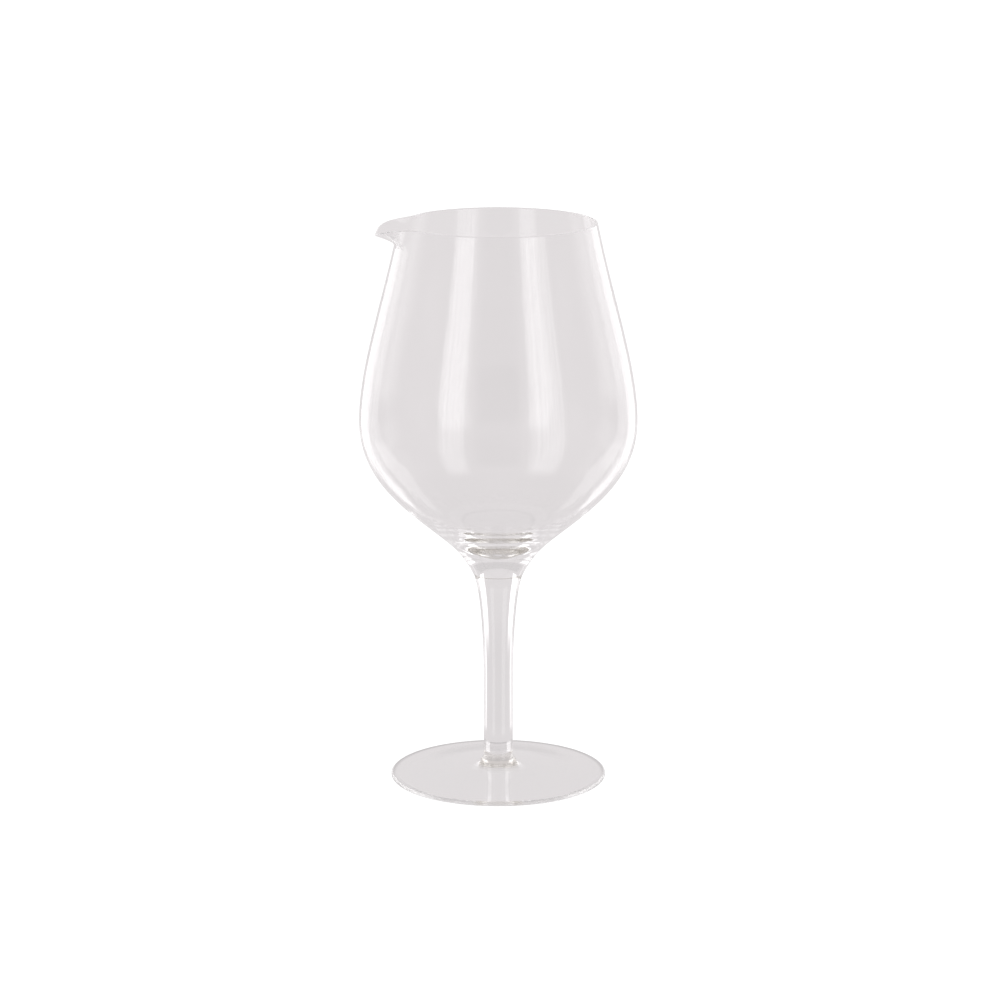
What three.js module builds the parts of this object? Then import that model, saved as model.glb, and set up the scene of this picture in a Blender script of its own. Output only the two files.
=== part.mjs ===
// Wine carafe in the form of a large stemmed glass, with a pouring lip pulled from its rim.
// Three fused gathers of clear glass: the blown bowl, the drawn stem and the cast foot.
// Millimetres, +Z up. The foot rests on Z = 0, the axis is Z, and the lip points along -X.
import * as THREE from 'three';

// Heights on the axis
const TOTAL_HEIGHT = 300;
const BOWL_SEAM_HEIGHT = 112;
const FOOT_SEAM_HEIGHT = 8.5;

// Outside of the bowl: radii, heights, and the angles by which the wall leans out from upright, in degrees
const BOWL_SEAM_RADIUS = 13.5;
const BOWL_SEAM_ANGLE = 26.5;
const FLANK_RADIUS = 27;
const FLANK_RISE = 17.5;
const FLANK_ANGLE = 49;
const BELLY_RADIUS = 73.3;
const BELLY_HEIGHT = 194.5;
const RIM_RADIUS = 51.9;
const RIM_ANGLE = -12.5;

// Glass of the bowl: thin at the rim, thicker downwards, with a heavy solid base
const RIM_WALL = 1.6;
const BELLY_WALL = 1.8;
const BASE_THICKNESS = 14;

// Pouring lip: where the wall starts to turn out, how it turns, and how wide it is, in degrees
const LIP_DEPTH = 11.9;
const LIP_OVERHANG = 11.5;
const LIP_FILLET = 2.8;
const LIP_RISE_ANGLE = 16.4;
const LIP_HALF_ANGLE = 24.2;
const TROUGH_HALF_ANGLE = 18.8;
const LIP_SQUARENESS = 4.8;
const TROUGH_ROUNDNESS = 1.9;

// Stem
const STEM_RADIUS = 7.75;
const STEM_WAIST_HEIGHT = 55;
const STEM_TOP_ANGLE = 32;
const COLLAR_RADIUS = 9.4;
const COLLAR_ANGLE = -45;
const COLLAR_HEIGHT = 3.5;

// Foot: a low conical shell with a rounded edge, hollow underneath inside a flat resting ring
const FOOT_RADIUS = 57.5;
const FOOT_EDGE = 2.2;
const FOOT_EDGE_ANGLE = -85.5;
const FOOT_HUB_ANGLE = -82;
const REST_RING_WIDTH = 2.9;
const UNDERSIDE_HOLLOW = 5.6;
const UNDERSIDE_ANGLE = 95;

// How long the handles of a curve are against the distance that it spans
const EVEN_RATIO = 0.335;
const BELLY_RATIO_BELOW = 0.4;
const BELLY_RATIO_ABOVE = 0.28;
const HOLLOW_FLOOR_RATIO = 0.15;
const HOLLOW_BELLY_RATIO = 0.42;
const SHORT_RATIO = 0.13;
const HUB_RATIO = 0.2;

// Facets
const BOWL_SEGMENTS = 72;
const STEM_SEGMENTS = 40;
const FOOT_SEGMENTS = 64;
const LIP_CROWDING = 0.5;

const radians = THREE.MathUtils.degToRad;

// A point of an outline, as a radius and a height
function at(radius, height) {
  return new THREE.Vector2(radius, height);
}

// The upward direction of a wall that leans out from upright by some degrees
function leaning(degrees) {
  return at(Math.sin(radians(degrees)), Math.cos(radians(degrees)));
}

// A smooth stretch of outline from one point to another, leaning as stated at each end
function stretch(from, fromAngle, to, toAngle, steps, fromRatio = EVEN_RATIO, toRatio = EVEN_RATIO) {
  const span = from.distanceTo(to);
  const leave = from.clone().addScaledVector(leaning(fromAngle), span * fromRatio);
  const arrive = to.clone().addScaledVector(leaning(toAngle), -span * toRatio);
  return new THREE.CubicBezierCurve(from, leave, arrive, to).getPoints(steps);
}

// A straight stretch of outline
function straight(from, to, steps = 1) {
  return new THREE.LineCurve(from, to).getPoints(steps);
}

// Joins stretches end to end, without their doubled points
function outline(...stretches) {
  const points = [];
  for (const point of stretches.flat()) {
    const last = points.at(-1);
    if (!last || last.distanceTo(point) > 1e-6) points.push(point);
  }
  return points;
}

// Turns an outline about Z, starting at the lip's side
function turned(points, segments) {
  return new THREE.LatheGeometry(points, segments, -Math.PI / 2).rotateX(Math.PI / 2);
}

// A piece of clear glass
function glass(name, geometry) {
  const material = new THREE.MeshStandardMaterial({
    color: 0xdddadb,
    roughness: 0.03,
    metalness: 0,
    transparent: true,
    opacity: 0.35,
  });
  const mesh = new THREE.Mesh(geometry, material);
  mesh.name = name;
  return mesh;
}

// The straight stretch of wall below the rim, out of which the lip is pulled
const wallTop = at(RIM_RADIUS, TOTAL_HEIGHT - RIM_WALL / 2);
const wallUp = leaning(RIM_ANGLE);
const wallIn = at(-wallUp.y, wallUp.x);
const pullLength = LIP_DEPTH / wallUp.y;
const pullLine = wallTop.clone().addScaledVector(wallUp, -pullLength);

// The bent wall in the middle of the lip, at a share of the way up and a depth into the glass
function bentWall(share, depth) {
  const turn = radians(90 - LIP_RISE_ANGLE - RIM_ANGLE);
  const centre = pullLine.clone().addScaledVector(wallIn, -LIP_FILLET);
  const tongueOut = at(Math.cos(radians(LIP_RISE_ANGLE)), Math.sin(radians(LIP_RISE_ANGLE)));
  const tongueStart = centre.clone()
    .addScaledVector(wallIn, LIP_FILLET * Math.cos(turn))
    .addScaledVector(wallUp, LIP_FILLET * Math.sin(turn));
  const tongueLength = (RIM_RADIUS + LIP_OVERHANG - tongueStart.x) / tongueOut.x;
  const arcLength = LIP_FILLET * turn;
  const along = share * (arcLength + tongueLength);
  if (along > arcLength) {
    const tongueUp = at(-tongueOut.y, tongueOut.x);
    return tongueStart.addScaledVector(tongueOut, along - arcLength).addScaledVector(tongueUp, depth);
  }
  const angle = along / LIP_FILLET;
  return centre
    .addScaledVector(wallIn, (LIP_FILLET + depth) * Math.cos(angle))
    .addScaledVector(wallUp, (LIP_FILLET + depth) * Math.sin(angle));
}

// Draws the facets closer together beside the lip, then pulls the rim out and down there
function pullLip(geometry) {
  const position = geometry.getAttribute('position');
  for (let i = 0; i < position.count; i += 1) {
    const radius = Math.hypot(position.getX(i), position.getY(i));
    let height = position.getZ(i);
    let reach = radius;
    let turn = Math.atan2(position.getY(i), -position.getX(i));
    turn -= LIP_CROWDING * Math.sin(turn);

    const offset = at(radius, height).sub(pullLine);
    const share = offset.dot(wallUp) / pullLength;
    if (share > 0) {
      const bent = bentWall(share, offset.dot(wallIn));
      const pull = Math.exp(-((Math.abs(turn) / radians(LIP_HALF_ANGLE)) ** LIP_SQUARENESS));
      const drop = Math.exp(-((Math.abs(turn) / radians(TROUGH_HALF_ANGLE)) ** TROUGH_ROUNDNESS));
      reach += pull * (bent.x - radius);
      height += drop * (bent.y - height);
    }
    position.setXYZ(i, -reach * Math.cos(turn), reach * Math.sin(turn), height);
  }
  geometry.computeVertexNormals();
  return geometry;
}

// The blown bowl: flat mating face, outside, rounded rim, inside, and the floor of the hollow
function bowl() {
  const seam = at(BOWL_SEAM_RADIUS, BOWL_SEAM_HEIGHT);
  const flank = at(FLANK_RADIUS, BOWL_SEAM_HEIGHT + FLANK_RISE);
  const belly = at(BELLY_RADIUS, BELLY_HEIGHT);
  const bead = new THREE.EllipseCurve(
    RIM_RADIUS - RIM_WALL / 2, TOTAL_HEIGHT - RIM_WALL / 2, RIM_WALL / 2, RIM_WALL / 2, 0, Math.PI);
  const innerTop = at(RIM_RADIUS - RIM_WALL, TOTAL_HEIGHT - RIM_WALL / 2);
  const innerPullLine = pullLine.clone().addScaledVector(wallIn, RIM_WALL);
  const innerBelly = at(BELLY_RADIUS - BELLY_WALL, BELLY_HEIGHT);
  const floor = at(0, BOWL_SEAM_HEIGHT + BASE_THICKNESS);
  const outside = outline(
    straight(at(0, BOWL_SEAM_HEIGHT), seam),
    stretch(seam, BOWL_SEAM_ANGLE, flank, FLANK_ANGLE, 4),
    stretch(flank, FLANK_ANGLE, belly, 0, 8, EVEN_RATIO, BELLY_RATIO_BELOW),
    stretch(belly, 0, pullLine, RIM_ANGLE, 6, BELLY_RATIO_ABOVE, EVEN_RATIO),
    straight(pullLine, wallTop, 6),
  );
  const inside = outline(
    stretch(floor, 90, innerBelly, 0, 12, HOLLOW_FLOOR_RATIO, HOLLOW_BELLY_RATIO),
    stretch(innerBelly, 0, innerPullLine, RIM_ANGLE, 6, BELLY_RATIO_ABOVE, EVEN_RATIO),
    straight(innerPullLine, innerTop, 6),
  );
  const profile = outline(outside, bead.getPoints(4), inside.reverse());
  return glass('bowl', pullLip(turned(profile, BOWL_SEGMENTS)));
}

// The drawn stem: a collar on the foot, a slender waist, and a flare under the bowl
function stem() {
  const collar = at(COLLAR_RADIUS, FOOT_SEAM_HEIGHT);
  const ankle = at(STEM_RADIUS, FOOT_SEAM_HEIGHT + COLLAR_HEIGHT);
  const waist = at(STEM_RADIUS, STEM_WAIST_HEIGHT);
  const top = at(BOWL_SEAM_RADIUS, BOWL_SEAM_HEIGHT);
  const profile = outline(
    straight(at(0, FOOT_SEAM_HEIGHT), collar),
    stretch(collar, COLLAR_ANGLE, ankle, 0, 4, SHORT_RATIO),
    straight(ankle, waist),
    stretch(waist, 0, top, STEM_TOP_ANGLE, 9, EVEN_RATIO, SHORT_RATIO),
    straight(top, at(0, BOWL_SEAM_HEIGHT)),
  );
  return glass('stem', turned(profile, STEM_SEGMENTS));
}

// The cast foot: hollow underside, flat ring to rest on, rounded edge and a low cone up to the stem
function foot() {
  const middle = at(0, UNDERSIDE_HOLLOW);
  const hubBelow = at(COLLAR_RADIUS, UNDERSIDE_HOLLOW);
  const ringOutside = at(FOOT_RADIUS - FOOT_EDGE / 2, 0);
  const ringInside = at(ringOutside.x - REST_RING_WIDTH, 0);
  const edge = new THREE.EllipseCurve(
    ringOutside.x, FOOT_EDGE / 2, FOOT_EDGE / 2, FOOT_EDGE / 2, -Math.PI / 2, Math.PI / 2);
  const edgeTop = at(ringOutside.x, FOOT_EDGE);
  const hub = at(COLLAR_RADIUS, FOOT_SEAM_HEIGHT);
  const profile = outline(
    straight(middle, hubBelow),
    stretch(hubBelow, 90, ringInside, UNDERSIDE_ANGLE, 5, HUB_RATIO, EVEN_RATIO),
    straight(ringInside, ringOutside),
    edge.getPoints(5),
    stretch(edgeTop, FOOT_EDGE_ANGLE, hub, FOOT_HUB_ANGLE, 6),
    straight(hub, at(0, FOOT_SEAM_HEIGHT)),
  );
  return glass('foot', turned(profile, FOOT_SEGMENTS));
}

const carafe = new THREE.Group();
carafe.name = 'wine_carafe';
carafe.add(bowl(), stem(), foot());

export default carafe;
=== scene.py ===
# %% [markdown]
# # A wine carafe in clear glass
# The real carafe is a giant stemmed wine glass with a pouring lip. A glassmaker makes it from three
# gathers of hot glass: a blown bowl, a stem drawn out under it, and a foot spread into a disc. The
# lip is pulled out of the soft rim with a pair of jacks, so it belongs to the bowl.
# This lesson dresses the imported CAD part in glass. Everything is in metres, in the part's own frame:
# Z is the axis, the foot stands on Z = 0, and the lip points along -X.

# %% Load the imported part
import math

import bmesh
import bpy
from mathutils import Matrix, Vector
from mathutils.geometry import interpolate_bezier


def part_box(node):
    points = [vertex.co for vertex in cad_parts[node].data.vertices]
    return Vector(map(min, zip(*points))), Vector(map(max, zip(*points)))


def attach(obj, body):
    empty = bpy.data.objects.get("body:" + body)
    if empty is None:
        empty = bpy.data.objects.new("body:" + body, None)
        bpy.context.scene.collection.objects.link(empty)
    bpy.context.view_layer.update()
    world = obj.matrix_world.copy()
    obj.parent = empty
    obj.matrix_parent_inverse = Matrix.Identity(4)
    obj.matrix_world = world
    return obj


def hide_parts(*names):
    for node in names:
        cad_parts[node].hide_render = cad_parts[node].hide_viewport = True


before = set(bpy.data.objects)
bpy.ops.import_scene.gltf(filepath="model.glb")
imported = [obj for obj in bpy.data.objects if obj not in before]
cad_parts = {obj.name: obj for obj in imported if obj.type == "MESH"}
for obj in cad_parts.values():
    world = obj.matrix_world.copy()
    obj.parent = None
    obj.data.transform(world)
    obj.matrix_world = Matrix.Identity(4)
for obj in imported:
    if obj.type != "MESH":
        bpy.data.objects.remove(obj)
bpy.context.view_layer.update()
print("nodes of the frame:", sorted(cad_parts))

# %% [markdown]
# ## Sizes that come from the part
# Each gather of glass is one node of the frame, so its box gives where it starts and ends and how
# wide it is. The sizes could be typed in again, but reading them keeps the glass on the part if the
# part is made a little larger. The +X side is used for the radii, because the lip is on the other side.

# %% Measure the three gathers
mm = 0.001
bowl_low, bowl_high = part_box("bowl")
stem_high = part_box("stem")[1]
foot_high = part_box("foot")[1]

rim_height = bowl_high.z
bowl_seam = bowl_low.z
foot_seam = foot_high.z
belly_radius = bowl_high.x
seam_radius = stem_high.x
foot_radius = foot_high.x
print(f"rim {rim_height:.4f} m high, belly {belly_radius:.4f} m and foot {foot_radius:.4f} m in radius")

# %% [markdown]
# ## Drawing an outline
# Glass that is turned while it is hot takes the shape of a turned outline. An outline is a row of
# points, each a radius and a height. It could be drawn as a curve object by hand, but then its
# numbers would be hidden in handles. Here each stretch is one Bezier segment between two known
# points, and what is stated is how far the wall leans out from upright at each end, as a template
# for a blower would show it. A wall that leans by 90 degrees runs level.

# %% Points and directions
upright, level = 0, 90


def at(radius, height):
    return Vector((radius, height))


def leaning(degrees):
    return at(math.sin(math.radians(degrees)), math.cos(math.radians(degrees)))


print("an upright wall leans along", tuple(leaning(upright)))

# %% Stretches of an outline
even_pull = 0.335


def curve_between(start, start_lean, end, end_lean, points, start_pull=even_pull, end_pull=even_pull):
    span = (end - start).length
    leave = start + leaning(start_lean) * span * start_pull
    arrive = end - leaning(end_lean) * span * end_pull
    return interpolate_bezier(start, leave, arrive, end, points)


def line_between(start, end, points):
    return [start.lerp(end, i / (points - 1)) for i in range(points)]


def round_edge(centre, radius, first, last, points):
    turns = [math.radians(first + (last - first) * i / (points - 1)) for i in range(points)]
    return [centre + at(math.cos(turn), math.sin(turn)) * radius for turn in turns]


print("a curve's handles are", even_pull, "of its span, unless stated")

# %% Join stretches end to end
hair = 1e-7


def joined(*runs):
    """The runs in a row, without the points that lie on the one before them."""
    outline = []
    for run in runs:
        for point in run:
            if not outline or (point - outline[-1]).length > hair:
                outline.append(point)
    return outline


print("points closer than", hair, "m count as one")

# %% [markdown]
# ## The outline of the bowl
# The bowl is blown, so its wall is thin and even: 1.6 mm at the rim and 1.8 mm at the belly. Where the
# bubble sat on the iron it stays heavy, and that solid base holds most of the glints. The outline
# starts on the axis at the seam with the stem, goes up the outside, over the fire-polished rim and
# down the inside to the axis again, so the turned shape is closed glass with a true inner wall.
# Light bends at both walls, so a single sheet with no thickness would look like a soap bubble.

# %% Places on the bowl's wall
rim_wall = 1.6 * mm
rim_radius = 51.9 * mm
rim_lean = -12.5
lip_depth = 11.9 * mm
flank_radius = 27 * mm
flank_rise = 17.5 * mm
belly_height = 194.5 * mm

seam = at(seam_radius, bowl_seam)
flank = at(flank_radius, bowl_seam + flank_rise)
belly = at(belly_radius, belly_height)
wall_top = at(rim_radius, rim_height - rim_wall / 2)
wall_up = leaning(rim_lean)
wall_in = at(-wall_up.y, wall_up.x)
pull_length = lip_depth / wall_up.y
pull_line = wall_top - wall_up * pull_length
print(f"the lip starts {pull_line.y:.4f} m above the table")

# %% Outside of the bowl
seam_lean = 26.5
flank_lean = 49
belly_pull_below = 0.4
belly_pull_above = 0.28
outside = joined(
    line_between(at(0, bowl_seam), seam, points=7),
    curve_between(seam, seam_lean, flank, flank_lean, points=25),
    curve_between(flank, flank_lean, belly, upright, points=49, end_pull=belly_pull_below),
    curve_between(belly, upright, pull_line, rim_lean, points=37, start_pull=belly_pull_above),
    line_between(pull_line, wall_top, points=29),
)
print(len(outside), "points on the outside")

# %% Inside of the bowl
belly_wall = 1.8 * mm
base_thickness = 14 * mm
hollow_pull_floor = 0.15
hollow_pull_belly = 0.42
floor_of_hollow = at(0, bowl_seam + base_thickness)
inner_belly = belly - at(belly_wall, 0)
inner_pull_line = pull_line + wall_in * rim_wall
inner_top = wall_top - at(rim_wall, 0)
inside = joined(
    curve_between(floor_of_hollow, level, inner_belly, upright, points=97,
                  start_pull=hollow_pull_floor, end_pull=hollow_pull_belly),
    curve_between(inner_belly, upright, inner_pull_line, rim_lean, points=37,
                  start_pull=belly_pull_above),
    line_between(inner_pull_line, inner_top, points=29),
)
print(len(inside), "points on the inside")

# %% The whole outline, over the polished rim
polished_rim = round_edge(wall_top - at(rim_wall / 2, 0), rim_wall / 2, first=0, last=180, points=13)
bowl_outline = joined(outside, polished_rim, inside[::-1])
print(len(bowl_outline), "points in the bowl's outline")

# %% [markdown]
# ## The pouring lip
# The maker warms one side of the rim, presses it out over a thumb-wide arc and lets the edge droop, so
# wine runs into a trough. Lattice deforms or sculpting could do it, but both lose the even wall. Here
# the straight top of the wall is wrapped on to a bent one: first round a fillet, then along a tongue
# that still rises a little. Each point keeps its depth in the glass, so the wall stays as thick as
# before. The bend fades out sideways, squarely for how far the lip reaches and roundly for how deep
# the trough is.

# %% The bent wall in the middle of the lip
lip_overhang = 11.5 * mm
lip_fillet = 2.8 * mm
lip_rise = math.radians(16.4)

bend_centre = pull_line - wall_in * lip_fillet
bend_turn = math.radians(level - rim_lean) - lip_rise
bend_length = lip_fillet * bend_turn
bend_end = wall_in * math.cos(bend_turn) + wall_up * math.sin(bend_turn)
tongue_start = bend_centre + bend_end * lip_fillet
tongue_out = at(math.cos(lip_rise), math.sin(lip_rise))
tongue_up = at(-tongue_out.y, tongue_out.x)
tongue_length = (rim_radius + lip_overhang - tongue_start.x) / tongue_out.x


def bent_wall(share, depth):
    """The place at a share of the way from the pull line to the tip, at a depth in the glass."""
    along = share * (bend_length + tongue_length)
    if along > bend_length:
        return tongue_start + tongue_out * (along - bend_length) + tongue_up * depth
    turn = along / lip_fillet
    return bend_centre + (wall_in * math.cos(turn) + wall_up * math.sin(turn)) * (lip_fillet + depth)


print(f"the tongue is {tongue_length:.4f} m long")

# %% Fade the bend out to both sides
lip_half_width = math.radians(24.2)
lip_squareness = 4.8
trough_half_width = math.radians(18.8)
trough_roundness = 1.9


def pulled_lip(point, turn):
    """Where a point of the bowl's outline goes, at a turn from the middle of the lip."""
    from_line = point - pull_line
    share = from_line.dot(wall_up) / pull_length
    if share <= 0:
        return point
    bent = bent_wall(share, from_line.dot(wall_in))
    reach = math.exp(-((abs(turn) / lip_half_width) ** lip_squareness))
    droop = math.exp(-((abs(turn) / trough_half_width) ** trough_roundness))
    return at(point.x + reach * (bent.x - point.x), point.y + droop * (bent.y - point.y))


print(f"the lip's tip is {pulled_lip(wall_top, 0).x:.4f} m from the axis")

# %% [markdown]
# ## Turning an outline into closed glass
# The Screw modifier turns an outline too, but the lip has to be pulled while the glass turns, and each
# point on the axis must stay a single point. So the rings are made with bmesh, a ring for each point of
# the outline, and joined by quads. All three gathers are turned in the same number of steps, so that
# the rings at a seam lie exactly on each other. Where two gathers are fused there is no surface in real
# glass, so the two flat faces that meet there get a second finish, one that light goes straight through.

# %% Rings and fused stretches
turn_steps = 256


def ring_of(lathe, point, shape):
    """The vertices that a point of the outline passes through; on the axis it is a single one."""
    if point.x < hair:
        return [lathe.verts.new((0, 0, point.y))] * turn_steps
    ring = []
    for step in range(turn_steps):
        turn = math.tau * step / turn_steps - math.pi
        place = shape(point, turn)
        ring.append(lathe.verts.new((-place.x * math.cos(turn), place.x * math.sin(turn), place.y)))
    return ring


def is_fused(start, end, seams):
    """Whether the stretch between two points lies flat at the height of a seam."""
    return abs(end.y - start.y) < hair and any(abs(start.y - height) < hair for height in seams)


print("a ring has", turn_steps, "vertices")

# %% The lathe, and the bowl turned on it
def turned(name, outline, seams, shape=lambda point, turn: point):
    """A closed mesh of the outline turned about Z, with its fused faces in the second material slot."""
    lathe = bmesh.new()
    rings = [ring_of(lathe, point, shape) for point in outline]
    for i in range(len(rings) - 1):
        lower, upper = rings[i], rings[i + 1]
        fused = is_fused(outline[i], outline[i + 1], seams)
        for step in range(turn_steps):
            corners = (lower[step], upper[step], upper[step - 1], lower[step - 1])
            face = lathe.faces.new(list(dict.fromkeys(corners)))
            face.smooth = True
            face.material_index = int(fused)
    bmesh.ops.recalc_face_normals(lathe, faces=lathe.faces)
    for edge in lathe.edges:
        edge.smooth = len({face.material_index for face in edge.link_faces}) == 1
    mesh = bpy.data.meshes.new(name)
    lathe.to_mesh(mesh)
    lathe.free()
    piece = bpy.data.objects.new(name, mesh)
    bpy.context.scene.collection.objects.link(piece)
    print(name, "has", len(mesh.polygons), "faces")
    return piece


bowl = turned("bowl_glass", bowl_outline, [bowl_seam], pulled_lip)

# %% [markdown]
# ## The stem
# A stem is drawn: a bit of soft glass is dropped on to the base of the bowl and pulled down with the
# jacks. It flares into the bowl with a slight crease at the seam, is slimmest at its waist, and ends in
# a small collar where the foot was cast on. It is solid glass, so it works as a rod lens and shows the
# sides of the room at its edges. A cylinder with a few loop cuts could stand for it, but turned from an
# outline its flare is smooth and its seams fit.

# %% Draw the stem
stem_radius = 7.75 * mm
waist_height = 55 * mm
collar_radius = 9.4 * mm
collar_height = 3.5 * mm
collar_lean = -45
stem_top_lean = 32
short_pull = 0.13

collar = at(collar_radius, foot_seam)
ankle = at(stem_radius, foot_seam + collar_height)
waist = at(stem_radius, waist_height)
stem_outline = joined(
    line_between(at(0, foot_seam), collar, points=5),
    curve_between(collar, collar_lean, ankle, upright, points=17, start_pull=short_pull),
    line_between(ankle, waist, points=21),
    curve_between(waist, upright, seam, stem_top_lean, points=41, end_pull=short_pull),
    line_between(seam, at(0, bowl_seam), points=7),
)
stem = turned("stem_glass", stem_outline, [bowl_seam, foot_seam])

# %% [markdown]
# ## The foot
# The foot is a separate gather that is spread with wooden paddles into a disc. Its top is a very low
# cone, its edge is rounded by the flame, and its underside is hollow, so it stands on a narrow ring and
# doesn't rock. The hollow runs nearly level with the top, and that keeps the disc clear: a thick wedge
# of glass would catch light inside and turn dark. A flat cylinder with bevelled edges would be quicker,
# but it would be such a wedge, so the foot is turned from its own outline too.

# %% Spread the foot
edge_thickness = 2.2 * mm
edge_lean = -85.5
hub_lean = -82
hub_pull = 0.2
rest_ring_width = 2.9 * mm
underside_hollow = 5.6 * mm
underside_lean = 95

hub_below = at(collar_radius, underside_hollow)
ring_outside = at(foot_radius - edge_thickness / 2, 0)
ring_inside = ring_outside - at(rest_ring_width, 0)
edge_centre = ring_outside + at(0, edge_thickness / 2)
edge_top = ring_outside + at(0, edge_thickness)
foot_outline = joined(
    line_between(at(0, underside_hollow), hub_below, points=7),
    curve_between(hub_below, level, ring_inside, underside_lean, points=31, start_pull=hub_pull),
    line_between(ring_inside, ring_outside, points=7),
    round_edge(edge_centre, edge_thickness / 2, first=-90, last=90, points=17),
    curve_between(edge_top, edge_lean, collar, hub_lean, points=41),
    line_between(collar, at(0, foot_seam), points=5),
)
foot = turned("foot_glass", foot_outline, [foot_seam])

# %% [markdown]
# ## The fused seams
# Where two gathers were fused, a trace of scale and tiny bubbles stays in the glass. It can't be seen
# from the side, but light that comes up through the seam loses some of its strength, and that makes the
# grey lines and the grey lens in the base of the bowl. The faces bend no light, because there is glass
# on both sides. They could be left out, but then neither piece would be closed glass by itself. All the
# tint is put on one of the two faces that meet, and the other is quite clear.

# %% Finishes for the fused faces
def add_node(tree, kind, *sources):
    """A node whose first inputs are linked to sockets or set to plain values."""
    node = tree.nodes.new(kind)
    for socket, source in zip(node.inputs, sources):
        if isinstance(source, bpy.types.NodeSocket):
            tree.links.new(source, socket)
        else:
            socket.default_value = source
    return node


def fused_face(name, tint):
    """A face inside the glass, which lets through the stated share of red, green and blue."""
    finish = bpy.data.materials.new(name)
    finish.use_nodes = True
    finish.node_tree.nodes.clear()
    through = add_node(finish.node_tree, "ShaderNodeBsdfTransparent", (*tint, 1))
    add_node(finish.node_tree, "ShaderNodeOutputMaterial", through.outputs["BSDF"])
    print("finish", name, "lets through", tint)
    return finish


bowl_seam_face = fused_face("bowl_seam", (0.68, 0.66, 0.62))
stem_seam_face = fused_face("stem_seam", (1, 1, 1))
foot_seam_face = fused_face("foot_seam", (0.93, 0.92, 0.9))

# %% [markdown]
# ## The finish: clear, colourless glass
# Crystal for tableware is almost colourless, with a trace of grey. Its marks come from the making: fine
# cords that run the way the glass was drawn, too shallow to feel, which break a highlight into streaks.
# A Glass shader would do for the body, but the Principled shader exports with its index of refraction.
# The cords are a stretched noise used as bump, and a second, slow noise lets the tint drift a little, as
# it does where glass is thicker or was worked longer.

# %% The drift of the tint
drift_cells = 30


def drifting_tint(tree, place, pale, deep):
    """A colour that drifts slowly between the pale and the deep one."""
    drift = add_node(tree, "ShaderNodeTexNoise", place)
    drift.inputs["Scale"].default_value = drift_cells
    drift.inputs["Detail"].default_value = 1
    tint = add_node(tree, "ShaderNodeMix", drift.outputs["Fac"])
    tint.data_type = "RGBA"
    tint.inputs["A"].default_value = (*pale, 1)
    tint.inputs["B"].default_value = (*deep, 1)
    return tint.outputs["Result"]


print(f"the tint drifts over about {1 / drift_cells:.3f} m")

# %% The cords
cord_octaves = 2


def shallow_cords(tree, place, cord_scale, cord_depth):
    """Bump of cords; cord_scale is how many noise cells lie in a metre along each axis."""
    stretched = add_node(tree, "ShaderNodeMapping", place)
    stretched.inputs["Scale"].default_value = cord_scale
    cords = add_node(tree, "ShaderNodeTexNoise", stretched.outputs["Vector"])
    cords.inputs["Scale"].default_value = 1
    cords.inputs["Detail"].default_value = cord_octaves
    relief = add_node(tree, "ShaderNodeBump")
    relief.inputs["Distance"].default_value = cord_depth
    tree.links.new(cords.outputs["Fac"], relief.inputs["Height"])
    return relief.outputs["Normal"]


print("each cord is broken up by", cord_octaves, "octaves of finer noise")

# %% A finish for each gather
def clear_glass(name, pale, deep, cord_scale, cord_depth):
    finish = bpy.data.materials.new(name)
    finish.use_nodes = True
    tree = finish.node_tree
    shader = tree.nodes["Principled BSDF"]
    shader.inputs["Roughness"].default_value = 0.0
    shader.inputs["IOR"].default_value = 1.5
    shader.inputs["Transmission Weight"].default_value = 1.0
    place = add_node(tree, "ShaderNodeTexCoord").outputs["Object"]
    tree.links.new(drifting_tint(tree, place, pale, deep), shader.inputs["Base Color"])
    tree.links.new(shallow_cords(tree, place, cord_scale, cord_depth), shader.inputs["Normal"])
    print(f"finish {name} with cords {cord_depth * 1e6:.1f} micrometres deep")
    return finish


blown = clear_glass("blown_glass", pale=(0.99, 0.988, 0.989), deep=(0.972, 0.97, 0.971),
                    cord_scale=(420, 420, 9), cord_depth=2.5e-5)
drawn = clear_glass("drawn_glass", pale=(0.962, 0.96, 0.962), deep=(0.94, 0.938, 0.94),
                    cord_scale=(420, 420, 8), cord_depth=2e-6)
spread = clear_glass("spread_glass", pale=(0.97, 0.97, 0.97), deep=(0.952, 0.952, 0.952),
                     cord_scale=(90, 90, 90), cord_depth=3e-6)

# %% [markdown]
# ## Putting the glass on the part
# Nothing moves on a carafe, so all three pieces ride on the one body. They could be joined into a single
# mesh, but apart, each stands for its own CAD node, whose mesh is hidden.

# %% Fix the pieces to the frame
for piece, node, finish, seam_face in ((bowl, "bowl", blown, bowl_seam_face),
                                       (stem, "stem", drawn, stem_seam_face),
                                       (foot, "foot", spread, foot_seam_face)):
    piece.data.materials.append(finish)
    piece.data.materials.append(seam_face)
    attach(piece, "root")
    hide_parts(node)
    print(piece.name, "stands for", node)

# %% [markdown]
# ## The camera
# A photographer of glass stands well back with a long lens, so that the foot and the rim are seen from
# nearly the same angle. A short lens close by would fill the frame as well, but it would look down on the
# foot much more steeply than on the rim. The camera looks along +Y and a little down.

# %% Set up the camera
looking_down = 13.05
camera = bpy.data.objects.new("camera", bpy.data.cameras.new("camera"))
camera.location = (0.0009, -1.905, 0.593)
camera.rotation_euler = (math.radians(level - looking_down), 0, 0)
camera.data.sensor_width = 36
camera.data.lens = 133.02
bpy.context.scene.collection.objects.link(camera)
bpy.context.scene.camera = camera
print(f"the camera is {camera.location.length:.2f} m from the foot")

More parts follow.
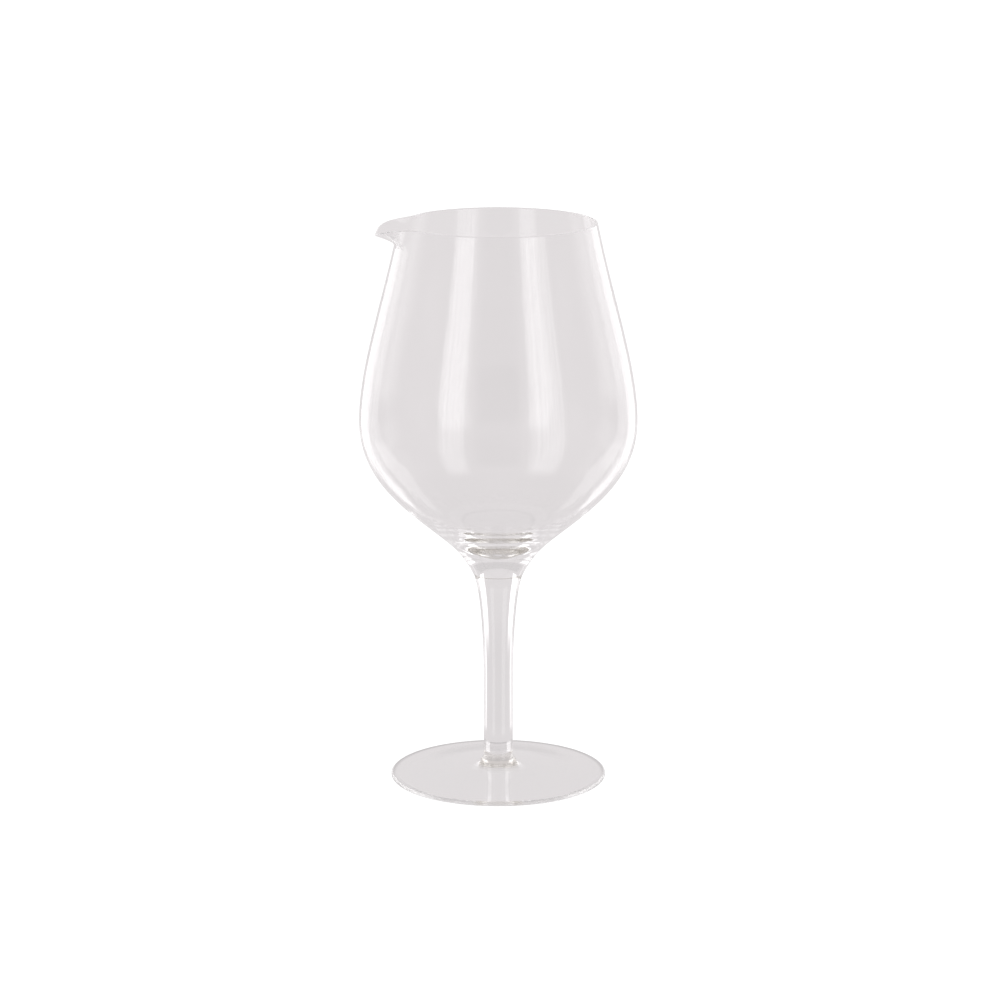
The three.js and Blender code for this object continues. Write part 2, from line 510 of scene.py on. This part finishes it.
# %% [markdown]
# ## The surroundings
# Clear glass has hardly any look of its own: it shows its surroundings. So the room is built like a
# glass photographer's: a white backdrop all round, a dimmer ceiling, and a dim side where the camera
# stands. The camera sees the backdrop plain white. In reflection and in refraction the glass shows it
# too, a little shaded, as a backdrop is where the carafe stands before it. A room that is white
# everywhere would make the glass vanish, and a dark one would make it smoky. An image of a studio could
# light it as well, but each tone can be set by itself when it is painted by direction.

# %% Directions in the room
room = bpy.data.worlds.new("room")
bpy.context.scene.world = room
room.use_nodes = True
walls = room.node_tree
walls.nodes.clear()

look = add_node(walls, "ShaderNodeTexCoord")
way = add_node(walls, "ShaderNodeSeparateXYZ", look.outputs["Generated"])
level_way = add_node(walls, "ShaderNodeCombineXYZ", way.outputs["X"], way.outputs["Y"], 0)
compass = add_node(walls, "ShaderNodeVectorMath", level_way.outputs["Vector"])
compass.operation = "NORMALIZE"
compass_way = add_node(walls, "ShaderNodeSeparateXYZ", compass.outputs["Vector"])
print("the room's directions take", len(walls.nodes), "nodes")

# %% Soft steps from tone to tone
backdrop = 0.78
ceiling_tone = 0.85
ceiling_starts, ceiling_full = 0.6, 0.8
camera_side_tone = 0.62
camera_side_full, camera_side_ends = -0.975, -0.92
dim_side_top, above_dim_side = 0.3, 0.5


def fade(tree, source, start, end, start_value, end_value):
    """A value that goes softly from one to the other while the source goes from start to end."""
    node = add_node(tree, "ShaderNodeMapRange", source, start, end, start_value, end_value)
    node.interpolation_type = "SMOOTHSTEP"
    return node.outputs["Result"]


def combine(tree, operation, *values):
    node = add_node(tree, "ShaderNodeMath", *values)
    node.operation = operation
    return node.outputs["Value"]


ceiling = fade(walls, way.outputs["Z"], ceiling_starts, ceiling_full, backdrop, backdrop * ceiling_tone)
camera_side = fade(
    walls, compass_way.outputs["Y"], camera_side_full, camera_side_ends, camera_side_tone, 1)
dim_side = fade(walls, way.outputs["Z"], dim_side_top, above_dim_side, camera_side, 1)
room_tone = combine(walls, "MULTIPLY", ceiling, dim_side)
print("through the glass the backdrop is", backdrop, "bright")

# %% Paint the room
backdrop_colour = (1, 0.964, 0.972, 1)
room_light = 0.8


def seen_by_glass(tree):
    """1 for what the glass shows, by reflection or refraction, and 0 for everything else."""
    ray = add_node(tree, "ShaderNodeLightPath")
    return combine(tree, "MAXIMUM", ray.outputs["Is Glossy Ray"], ray.outputs["Is Transmission Ray"])


in_glass = seen_by_glass(walls)
to_camera = add_node(walls, "ShaderNodeLightPath").outputs["Is Camera Ray"]
shown = fade(walls, in_glass, 0, 1, room_light, room_tone)
brightness = combine(walls, "MAXIMUM", shown, to_camera)
hue = add_node(walls, "ShaderNodeMix", in_glass)
hue.data_type = "RGBA"
hue.inputs["A"].default_value = (1, 1, 1, 1)
hue.inputs["B"].default_value = backdrop_colour
paint = add_node(walls, "ShaderNodeBackground", hue.outputs["Result"], brightness)
add_node(walls, "ShaderNodeOutputWorld", paint.outputs["Background"])
print("the room lights the table at", room_light)

# %% [markdown]
# ## The table
# The table is plain white, and to the camera it shows only the soft shadow of the carafe. For the glass
# it is a polished sheet: what the stem and the base show is the room and the lamps mirrored in it. A
# matt table would be simpler, but it would fill the stem and the edges of the bowl with one flat tone.
# Its front edge is close, so the belly of the bowl shows the softboxes past it.

# %% Lay the table
table_front = -0.36
table_back = 8
table_side = 4
foot_clearance = 0.3 * mm
table_corners = [(-table_side, table_front, 0), (table_side, table_front, 0),
                 (table_side, table_back, 0), (-table_side, table_back, 0)]
table_mesh = bpy.data.meshes.new("table")
table_mesh.from_pydata(table_corners, [], [(0, 1, 2, 3)])
table = bpy.data.objects.new("table", table_mesh)
table.location.z = -foot_clearance
bpy.context.scene.collection.objects.link(table)
print("the table's front edge is", -table_front, "m in front of the axis")

# %% What the camera sees of its top
matt_tone = 0.25
glow_strength = 0.92
white_top = bpy.data.materials.new("white_table_top")
white_top.use_nodes = True
top = white_top.node_tree
top.nodes.clear()
matt = add_node(top, "ShaderNodeBsdfDiffuse", (matt_tone, matt_tone, matt_tone, 1))
glow = add_node(top, "ShaderNodeEmission", (1, 1, 1, 1), glow_strength)
lit = add_node(top, "ShaderNodeAddShader", matt.outputs["BSDF"], glow.outputs["Emission"])
print("the table glows at", glow_strength, "and adds the lamps' light")

# %% [markdown]
# ## Gloss and shade of the table
# Close round the foot the table is matt all the same, because the shadow of the foot takes the shine away
# there, and the foot shows one even grey. A narrow ring of painted shade, where the table's glow is
# dimmed, lies where the foot's edge meets the table and gives that edge its fine outline. Behind the
# carafe the gloss comes only with distance, as on any satin sheet, and that keeps the core of the stem
# wide and even.
# An image could mask the gloss, but distances from the axis say it more plainly.

# %% Distances on the table
spot = add_node(top, "ShaderNodeSeparateXYZ", add_node(top, "ShaderNodeNewGeometry").outputs["Position"])
spot_x, spot_y = spot.outputs["X"], spot.outputs["Y"]
across = combine(top, "MULTIPLY", spot_x, spot_x)
from_axis = combine(top, "SQRT", combine(top, "MULTIPLY_ADD", spot_y, spot_y, across))
sideways = combine(top, "DIVIDE", combine(top, "ABSOLUTE", spot_x), from_axis)
print("the table's top has", len(top.nodes), "nodes with its distances")

# %% Where the table is polished
matt_until, clear_of_foot_from = 80 * mm, 95 * mm
satin_until, beside_from = 0.6, 0.72
gloss_starts, gloss_full = 0.25, 0.55
front_ends = 0.02

clear_of_foot = fade(top, from_axis, matt_until, clear_of_foot_from, 0, 1)
beside = fade(top, sideways, satin_until, beside_from, 0, 1)
far_behind = fade(top, from_axis, gloss_starts, gloss_full, 0, 1)
in_front = fade(top, spot_y, 0, front_ends, 1, 0)
glossy = combine(top, "MAXIMUM", combine(top, "MAXIMUM", beside, far_behind), in_front)
glossy = combine(top, "MULTIPLY", glossy, clear_of_foot)
print("behind the carafe the gloss is full at", gloss_full, "m")

# %% The painted shade round the foot
under_foot_tone = 0.76
painted_ring_shade_tone = 0.48
shade_starts, shade_full = 54 * mm, 57 * mm
shade_fades, shade_ends = 59 * mm, 63 * mm

# Painted shade: the glow that the glass sees on the table is dimmed in a ring round the foot's edge.
outer_shade = fade(top, from_axis, shade_fades, shade_ends, painted_ring_shade_tone, under_foot_tone)
painted_foot_shade = fade(top, from_axis, shade_starts, shade_full, under_foot_tone, outer_shade)
print("the ring of shade is", painted_ring_shade_tone, "bright")

# %% Put the table's top together
polish = add_node(top, "ShaderNodeBsdfAnisotropic", (1, 1, 1, 1), 0)
plain = add_node(top, "ShaderNodeEmission", backdrop_colour, painted_foot_shade)
mirrored = add_node(
    top, "ShaderNodeMixShader", glossy, plain.outputs["Emission"], polish.outputs["BSDF"])
surface = add_node(
    top, "ShaderNodeMixShader", seen_by_glass(top), lit.outputs["Shader"], mirrored.outputs["Shader"])
add_node(top, "ShaderNodeOutputMaterial", surface.outputs["Shader"])
table_mesh.materials.append(white_top)
print("and with its gloss and shade it has", len(top.nodes))

# %% [markdown]
# ## The lamps
# Two softboxes stand in front, one on each side, and make the two tall highlights on the bowl. They hang
# down past the front edge of the table, so that the highlights run down the belly unbroken. Two narrow
# strips stand behind, well to the sides. The curved wall turns the view that far only close to its edge,
# so they draw a white band just inside the outline of the bowl, and light the sides of the stem. They
# are tall, so they also show on the top of the foot, as two bright lines in front of the stem. Two weak
# lamps at the sides whiten the edges of the stem and lay a faint sheen on the sides of the bowl.
# A softbox is brightest in the middle of its cloth, so its edges fade, and the cloth hangs in soft folds,
# which show as upright streaks. Area lamps give this with few settings; a glowing sheet would do as well
# but is slower to sample.

# %% The cloth of a lamp
folds_across = 16
fold_dark, fold_bright = 0.35, 0.65
cloth_edge = 0.5


def cloth_brightness(tree, side_fade, end_fade, folds):
    """How bright the cloth is at each place; the fades are the shares of half its width and half its
    height over which it grows dim, and folds is how much light the folds take."""
    cloth = add_node(tree, "ShaderNodeNewGeometry")
    place = add_node(tree, "ShaderNodeSeparateXYZ", cloth.outputs["Parametric"])
    out = combine(tree, "ABSOLUTE", combine(tree, "SUBTRACT", place.outputs["X"], cloth_edge))
    up = combine(tree, "ABSOLUTE", combine(tree, "SUBTRACT", place.outputs["Y"], cloth_edge))
    sides = fade(tree, out, cloth_edge * (1 - side_fade), cloth_edge, 1, 0)
    ends = fade(tree, up, cloth_edge * (1 - end_fade), cloth_edge, 1, 0)
    hanging = add_node(tree, "ShaderNodeTexNoise")
    hanging.noise_dimensions = "1D"
    hanging.inputs["Scale"].default_value = folds_across
    hanging.inputs["Detail"].default_value = 1
    tree.links.new(place.outputs["X"], hanging.inputs["W"])
    creases = fade(tree, hanging.outputs["Fac"], fold_dark, fold_bright, 1 - folds, 1)
    return combine(tree, "MULTIPLY", combine(tree, "MULTIPLY", sides, ends), creases)


print("the cloth hangs in about", folds_across, "folds")

# %% A soft lamp that faces the axis, and the softboxes
def soft_light(name, bearing, distance, width, height, middle, brightness, side_fade, end_fade, folds):
    """An area lamp; bearing is in degrees from the camera's side, to the right, and middle is the height
    of its centre."""
    lamp = bpy.data.objects.new(name, bpy.data.lights.new(name, "AREA"))
    lamp.data.shape = "RECTANGLE"
    lamp.data.size, lamp.data.size_y = width, height
    lamp.data.energy = brightness * math.pi * width * height
    turn = math.radians(bearing)
    lamp.location = (distance * math.sin(turn), -distance * math.cos(turn), middle)
    lamp.rotation_euler = (Vector((0, 0, middle)) - lamp.location).to_track_quat("-Z", "Y").to_euler()
    lamp.visible_camera = False
    bpy.context.scene.collection.objects.link(lamp)
    lamp.data.use_nodes = True
    tree = lamp.data.node_tree
    shine = cloth_brightness(tree, side_fade, end_fade, folds)
    tree.links.new(shine, tree.nodes["Emission"].inputs["Strength"])
    print(name, "gives", round(lamp.data.energy, 2), "W")


softbox = {"distance": 1.3, "height": 2.2, "middle": 0.05, "brightness": 1.5,
           "side_fade": 0.5, "end_fade": 0.386, "folds": 0.55}
soft_light("softbox_left", bearing=-38, width=0.65, **softbox)
soft_light("softbox_right", bearing=41, width=0.85, **softbox)

# %% Strips and side lamps
strip = {"distance": 1.2, "width": 0.49, "height": 1.2, "middle": 0.3, "brightness": 0.65,
         "side_fade": 0.1, "end_fade": 0.1, "folds": 0}
side_lamp = {"distance": 1.2, "width": 0.8, "height": 0.5, "middle": 0.35, "brightness": 0.25,
             "side_fade": 0.6, "end_fade": 0.4, "folds": 0}

soft_light("strip_left", bearing=-142.5, **strip)
soft_light("strip_right", bearing=142.5, **strip)
soft_light("side_left", bearing=-115, **side_lamp)
soft_light("side_right", bearing=115, **side_lamp)

# %% [markdown]
# ## Enough bounces for glass
# Light can run along inside a glass wall for a long way before it gets out. If the renderer gives up
# early, that light turns into false black. A lower limit would be quicker, but here the glass is all
# that there is to see, so the limits are set high.

# %% Colours and light paths
most_bounces = 1000
scene = bpy.context.scene
scene.view_settings.view_transform = "Standard"
for limit in ("max_bounces", "glossy_bounces", "transmission_bounces", "transparent_max_bounces"):
    setattr(scene.cycles, limit, most_bounces)
print("light may bounce", scene.cycles.max_bounces, "times")
